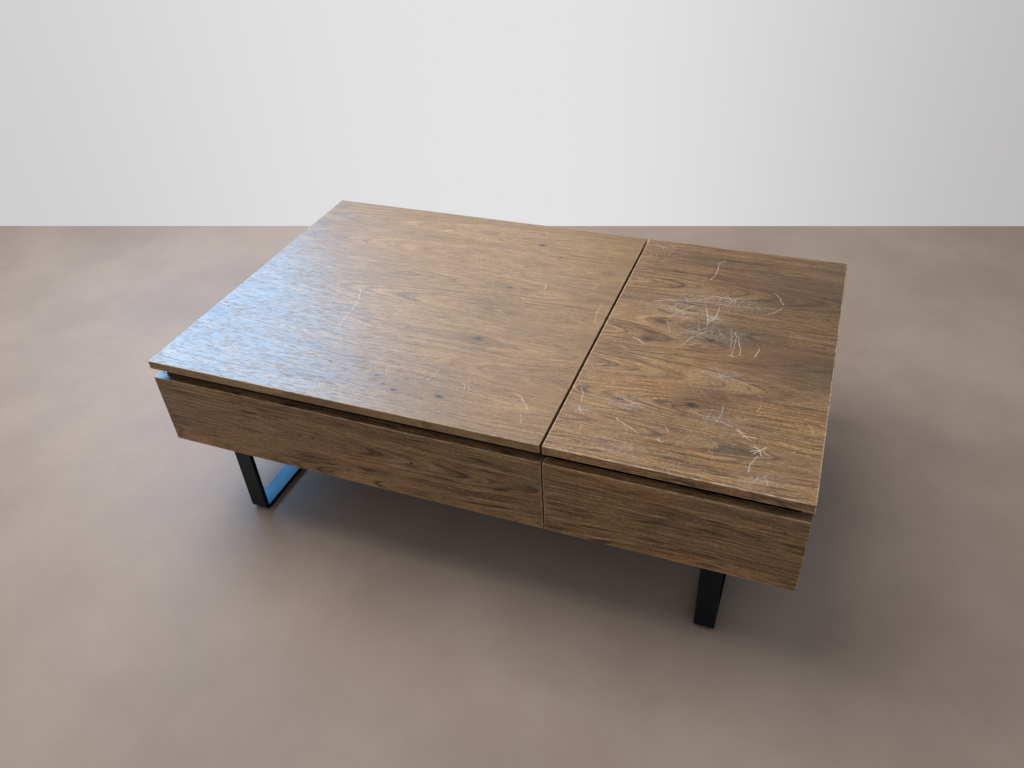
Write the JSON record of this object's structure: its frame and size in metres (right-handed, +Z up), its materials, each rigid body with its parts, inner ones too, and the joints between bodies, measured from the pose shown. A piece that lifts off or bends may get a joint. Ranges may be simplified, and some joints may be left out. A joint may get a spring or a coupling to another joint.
{
  "type": "lift top coffee table",
  "caption": "Low rectangular walnut-veneered coffee table with a lifting top over a storage box, a drawer beside it, and black flat-bar sled legs.",
  "frame": {"origin": "on the floor under the middle of the table", "axes": "+X along the table towards the drawer half, +Y from the sitter's side to the back, +Z up"},
  "size_m": [1.25, 0.748, 0.394],
  "materials": {
    "walnut_top": "satin lacquered walnut veneer, worn",
    "walnut_front": "satin lacquered walnut veneer",
    "inner_board": "dark melamine-faced board",
    "leg_steel": "black powder coat, semi-gloss",
    "arm_steel": "dark grey powder coat",
    "zinc_steel": "zinc plated",
    "fastener_steel": "zinc plated",
    "spring_steel": "oiled spring wire",
    "washer_plastic": "natural nylon",
    "pad_rubber": "matt black rubber",
    "glide_plastic": "matt black plastic",
    "drawer_board": "grey wood-print foil",
    "drawer_floor_board": "grey wood-print foil"
  },
  "bodies": {
    "case": {"arm_stops": "fastener_steel", "back_panel": "walnut_front", "bumper_pads": "pad_rubber", "cabinet_bottom": "inner_board", "cabinet_rail_front": "inner_board", "cabinet_wall_back": "inner_board", "cabinet_wall_left": "inner_board", "cabinet_wall_right": "inner_board", "end_panel_left": "walnut_front", "end_panel_right": "walnut_front", "fixed_top": "walnut_top", "fixed_top_screws": "fastener_steel", "floor_glides": "glide_plastic", "front_apron": "walnut_front", "hinge_base_left": "arm_steel", "hinge_base_right": "arm_steel", "hinge_base_screws": "fastener_steel", "leg_left": "leg_steel", "leg_rail_left": "leg_steel", "leg_rail_right": "leg_steel", "leg_right": "leg_steel", "leg_screws": "fastener_steel", "lower_pivot_pins": "fastener_steel", "lower_spacers": "washer_plastic", "module_connectors": "fastener_steel", "slide_outer_left": "zinc_steel", "slide_outer_right": "zinc_steel", "slide_outer_screws": "fastener_steel", "storage_bottom": "inner_board", "storage_wall_back": "inner_board", "storage_wall_front": "inner_board", "storage_wall_left": "inner_board", "storage_wall_right": "inner_board", "torsion_spring_left": "spring_steel", "torsion_spring_right": "spring_steel"},
    "lift_arms": {"rear_arm_left": "arm_steel", "rear_arm_right": "arm_steel", "sync_bar": "arm_steel", "spring_hubs": "arm_steel"},
    "left_front_arm": {"front_arm_left": "arm_steel"},
    "right_front_arm": {"front_arm_right": "arm_steel"},
    "lifting_leaf": {"lift_top": "walnut_top", "top_bracket_left": "arm_steel", "top_bracket_right": "arm_steel", "upper_pivot_pins": "fastener_steel", "upper_spacers": "washer_plastic", "top_bracket_screws": "fastener_steel"},
    "drawer": {"drawer_front": "walnut_front", "drawer_inner_front": "drawer_board", "drawer_side_left": "drawer_board", "drawer_side_right": "drawer_board", "drawer_back": "drawer_board", "drawer_bottom": "drawer_floor_board", "drawer_front_screws": "fastener_steel", "slide_inner_left": "zinc_steel", "slide_inner_right": "zinc_steel", "slide_inner_screws": "fastener_steel"},
    "left_slide_member": {"slide_middle_left": "zinc_steel"},
    "right_slide_member": {"slide_middle_right": "zinc_steel"}
  },
  "joints": [
    {"name": "lift_arms_turn", "type": "hinge", "parent": "case", "child": "lift_arms", "pos_m": [-0.208, -0.048, 0.275], "axis": [1, 0, 0], "range_deg": [0, 117]},
    {"name": "leaf_stays_level", "type": "hinge", "parent": "lift_arms", "child": "lifting_leaf", "pos_m": [-0.208, 0.17976, 0.30701], "axis": [1, 0, 0], "range_deg": [-117, 0]},
    {"name": "left_front_arm_turn", "type": "hinge", "parent": "case", "child": "left_front_arm", "pos_m": [-0.5835, -0.133, 0.295], "axis": [1, 0, 0], "range_deg": [0, 117]},
    {"name": "right_front_arm_turn", "type": "hinge", "parent": "case", "child": "right_front_arm", "pos_m": [0.1675, -0.133, 0.295], "axis": [1, 0, 0], "range_deg": [0, 117]},
    {"name": "drawer_pull", "type": "slide", "parent": "case", "child": "drawer", "axis": [0, -1, 0], "range_m": [0, 0.5]},
    {"name": "left_slide_run", "type": "slide", "parent": "case", "child": "left_slide_member", "axis": [0, -1, 0], "range_m": [0, 0.25]},
    {"name": "right_slide_run", "type": "slide", "parent": "case", "child": "right_slide_member", "axis": [0, -1, 0], "range_m": [0, 0.25]}
  ],
  "couplings": [
    {"joint": "leaf_stays_level", "follows": "lift_arms_turn", "ratio": -1},
    {"joint": "left_front_arm_turn", "follows": "lift_arms_turn", "ratio": 1},
    {"joint": "right_front_arm_turn", "follows": "lift_arms_turn", "ratio": 1},
    {"joint": "left_slide_run", "follows": "drawer_pull", "ratio": 0.5},
    {"joint": "right_slide_run", "follows": "drawer_pull", "ratio": 0.5}
  ]
}
